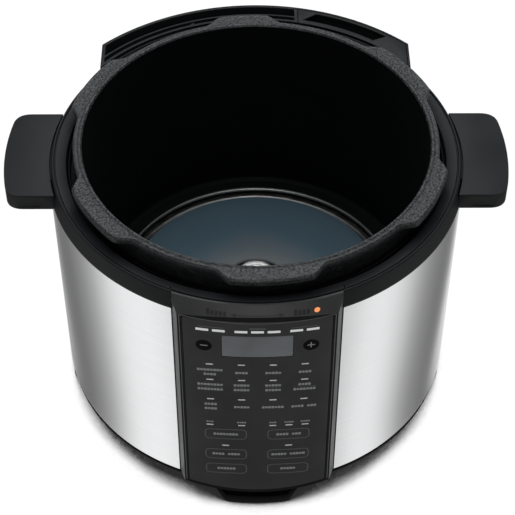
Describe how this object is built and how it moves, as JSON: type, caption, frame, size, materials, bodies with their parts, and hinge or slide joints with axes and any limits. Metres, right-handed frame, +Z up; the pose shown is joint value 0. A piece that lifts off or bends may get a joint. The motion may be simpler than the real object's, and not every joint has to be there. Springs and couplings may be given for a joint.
{
  "type": "electric pressure cooker",
  "caption": "Countertop electric pressure cooker base without lid: steel drum, keypad front, bayonet cooking well, side handles and rear drip housing.",
  "frame": {"origin": "centre of the bounding box on the ground plane, under the feet", "axes": "+X to the right handle, +Y to the rear housing (the keypad faces -Y), +Z up through the cooking well"},
  "size_m": [0.339, 0.3014, 0.227],
  "materials": {
    "black_plastic": "satin moulded ABS, fine grain",
    "screw_steel": "zinc plated",
    "foot_rubber": "soft matt",
    "brushed_steel": "fine brush round the drum, satin",
    "dark_coat": "dark grey hammertone coat, semi matt",
    "bare_metal": "rolled edge, bright",
    "blue_coat": "blue grey coating, satin",
    "spring_steel": "plain sheet",
    "sensor_aluminium": "turned, satin",
    "moulded_black": "plain",
    "circuit_board": "solder mask",
    "brass": "plated",
    "panel_print": "printed sheet, soft gloss",
    "display_glass": "smoked window"
  },
  "bodies": {
    "cooker": {"base_pan": "black_plastic", "bottom_cover": "black_plastic", "cover_screw_1": "screw_steel", "cover_screw_2": "screw_steel", "cover_screw_3": "screw_steel", "foot_pad_front": "foot_rubber", "foot_pad_right": "foot_rubber", "foot_pad_rear": "foot_rubber", "foot_pad_left": "foot_rubber", "steel_jacket": "brushed_steel", "collar": "black_plastic", "drip_ring": "black_plastic", "right_handle": "black_plastic", "left_handle": "black_plastic", "pot_wall": "dark_coat", "pot_flange": "dark_coat", "pot_floor": "dark_coat", "floor_ring": "bare_metal", "heating_plate": "blue_coat", "spring_plate": "spring_steel", "sensor_spring": "spring_steel", "sensor_bracket": "spring_steel", "thermal_fuse": "moulded_black", "pressure_switch": "moulded_black", "power_board": "circuit_board", "control_board": "circuit_board", "power_inlet": "black_plastic", "inlet_pin_1": "brass", "inlet_pin_2": "brass", "inlet_pin_3": "brass", "panel_housing": "black_plastic", "panel_face": "panel_print", "display_window": "display_glass", "rear_housing": "black_plastic", "rear_cover": "black_plastic"},
    "sensor": {"sensor_cap": "sensor_aluminium"},
    "key_minus": {"key_minus": "panel_print"},
    "key_plus": {"key_plus": "panel_print"},
    "key_function_1": {"key_function_1": "panel_print"},
    "key_function_2": {"key_function_2": "panel_print"},
    "key_function_3": {"key_function_3": "panel_print"},
    "key_function_4": {"key_function_4": "panel_print"},
    "key_function_5": {"key_function_5": "panel_print"},
    "key_function_6": {"key_function_6": "panel_print"},
    "key_function_7": {"key_function_7": "panel_print"},
    "key_function_8": {"key_function_8": "panel_print"},
    "key_function_9": {"key_function_9": "panel_print"},
    "key_function_10": {"key_function_10": "panel_print"},
    "key_function_11": {"key_function_11": "panel_print"},
    "key_function_12": {"key_function_12": "panel_print"},
    "key_option_1": {"key_option_1": "panel_print"},
    "key_option_2": {"key_option_2": "panel_print"},
    "key_option_3": {"key_option_3": "panel_print"},
    "key_option_4": {"key_option_4": "panel_print"},
    "key_option_5": {"key_option_5": "panel_print"},
    "key_option_6": {"key_option_6": "panel_print"},
    "cup": {"condensation_cup": "black_plastic"}
  },
  "joints": [
    {"name": "sensor_press", "type": "slide", "parent": "cooker", "child": "sensor", "axis": [0, 0, 1], "range_m": [-0.004, 0], "stiffness_N_per_m": 250, "springref_m": 0.004, "deforming": ["sensor_spring"]},
    {"name": "key_minus_press", "type": "slide", "parent": "cooker", "child": "key_minus", "axis": [0, 1, 0], "range_m": [0, 0.0005], "stiffness_N_per_m": 800, "springref_m": -0.0005},
    {"name": "key_plus_press", "type": "slide", "parent": "cooker", "child": "key_plus", "axis": [0, 1, 0], "range_m": [0, 0.0005], "stiffness_N_per_m": 800, "springref_m": -0.0005},
    {"name": "key_function_1_press", "type": "slide", "parent": "cooker", "child": "key_function_1", "axis": [0, 1, 0], "range_m": [0, 0.0005], "stiffness_N_per_m": 800, "springref_m": -0.0005},
    {"name": "key_function_2_press", "type": "slide", "parent": "cooker", "child": "key_function_2", "axis": [0, 1, 0], "range_m": [0, 0.0005], "stiffness_N_per_m": 800, "springref_m": -0.0005},
    {"name": "key_function_3_press", "type": "slide", "parent": "cooker", "child": "key_function_3", "axis": [0, 1, 0], "range_m": [0, 0.0005], "stiffness_N_per_m": 800, "springref_m": -0.0005},
    {"name": "key_function_4_press", "type": "slide", "parent": "cooker", "child": "key_function_4", "axis": [0, 1, 0], "range_m": [0, 0.0005], "stiffness_N_per_m": 800, "springref_m": -0.0005},
    {"name": "key_function_5_press", "type": "slide", "parent": "cooker", "child": "key_function_5", "axis": [0, 1, 0], "range_m": [0, 0.0005], "stiffness_N_per_m": 800, "springref_m": -0.0005},
    {"name": "key_function_6_press", "type": "slide", "parent": "cooker", "child": "key_function_6", "axis": [0, 1, 0], "range_m": [0, 0.0005], "stiffness_N_per_m": 800, "springref_m": -0.0005},
    {"name": "key_function_7_press", "type": "slide", "parent": "cooker", "child": "key_function_7", "axis": [0, 1, 0], "range_m": [0, 0.0005], "stiffness_N_per_m": 800, "springref_m": -0.0005},
    {"name": "key_function_8_press", "type": "slide", "parent": "cooker", "child": "key_function_8", "axis": [0, 1, 0], "range_m": [0, 0.0005], "stiffness_N_per_m": 800, "springref_m": -0.0005},
    {"name": "key_function_9_press", "type": "slide", "parent": "cooker", "child": "key_function_9", "axis": [0, 1, 0], "range_m": [0, 0.0005], "stiffness_N_per_m": 800, "springref_m": -0.0005},
    {"name": "key_function_10_press", "type": "slide", "parent": "cooker", "child": "key_function_10", "axis": [0, 1, 0], "range_m": [0, 0.0005], "stiffness_N_per_m": 800, "springref_m": -0.0005},
    {"name": "key_function_11_press", "type": "slide", "parent": "cooker", "child": "key_function_11", "axis": [0, 1, 0], "range_m": [0, 0.0005], "stiffness_N_per_m": 800, "springref_m": -0.0005},
    {"name": "key_function_12_press", "type": "slide", "parent": "cooker", "child": "key_function_12", "axis": [0, 1, 0], "range_m": [0, 0.0005], "stiffness_N_per_m": 800, "springref_m": -0.0005},
    {"name": "key_option_1_press", "type": "slide", "parent": "cooker", "child": "key_option_1", "axis": [0, 1, 0], "range_m": [0, 0.0005], "stiffness_N_per_m": 800, "springref_m": -0.0005},
    {"name": "key_option_2_press", "type": "slide", "parent": "cooker", "child": "key_option_2", "axis": [0, 1, 0], "range_m": [0, 0.0005], "stiffness_N_per_m": 800, "springref_m": -0.0005},
    {"name": "key_option_3_press", "type": "slide", "parent": "cooker", "child": "key_option_3", "axis": [0, 1, 0], "range_m": [0, 0.0005], "stiffness_N_per_m": 800, "springref_m": -0.0005},
    {"name": "key_option_4_press", "type": "slide", "parent": "cooker", "child": "key_option_4", "axis": [0, 1, 0], "range_m": [0, 0.0005], "stiffness_N_per_m": 800, "springref_m": -0.0005},
    {"name": "key_option_5_press", "type": "slide", "parent": "cooker", "child": "key_option_5", "axis": [0, 1, 0], "range_m": [0, 0.0005], "stiffness_N_per_m": 800, "springref_m": -0.0005},
    {"name": "key_option_6_press", "type": "slide", "parent": "cooker", "child": "key_option_6", "axis": [0, 1, 0], "range_m": [0, 0.0005], "stiffness_N_per_m": 800, "springref_m": -0.0005},
    {"name": "cup_slide", "type": "slide", "parent": "cooker", "child": "cup", "axis": [0, 1, 0], "range_m": [0, 0.045]}
  ]
}
